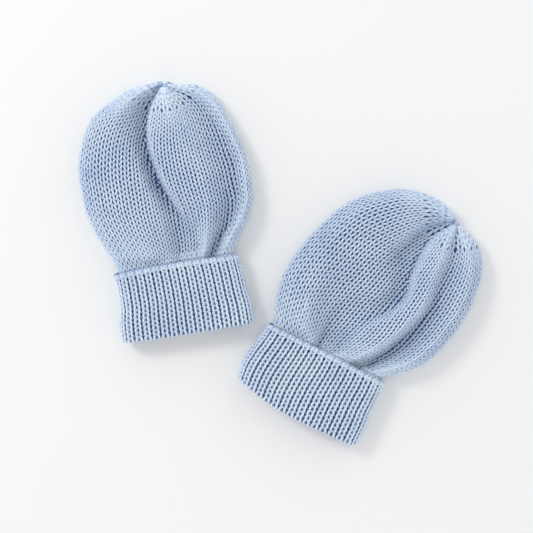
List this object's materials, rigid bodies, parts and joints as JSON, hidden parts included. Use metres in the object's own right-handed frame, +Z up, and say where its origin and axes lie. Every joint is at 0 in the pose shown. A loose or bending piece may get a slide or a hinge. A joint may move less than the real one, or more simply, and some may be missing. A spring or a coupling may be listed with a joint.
{
  "type": "pair of baby mittens",
  "caption": "Thumbless knitted baby mittens laid flat, each a soft pouch gathered at its tip, with a ribbed cuff turned up over its mouth.",
  "frame": {"origin": "on the table, under the middle of the box round both mittens", "axes": "+X to the right of the picture, +Y to its top, +Z up from the table"},
  "size_m": [0.1826, 0.163, 0.0156],
  "materials": {
    "stocking_stitch": "soft matte knitted baby yarn, powder blue",
    "rib_knit": "soft matte ribbed baby yarn, powder blue"
  },
  "bodies": {
    "root": {"left_hand": "stocking_stitch", "left_cuff": "rib_knit", "right_hand": "stocking_stitch", "right_cuff": "rib_knit"}
  },
  "joints": []
}
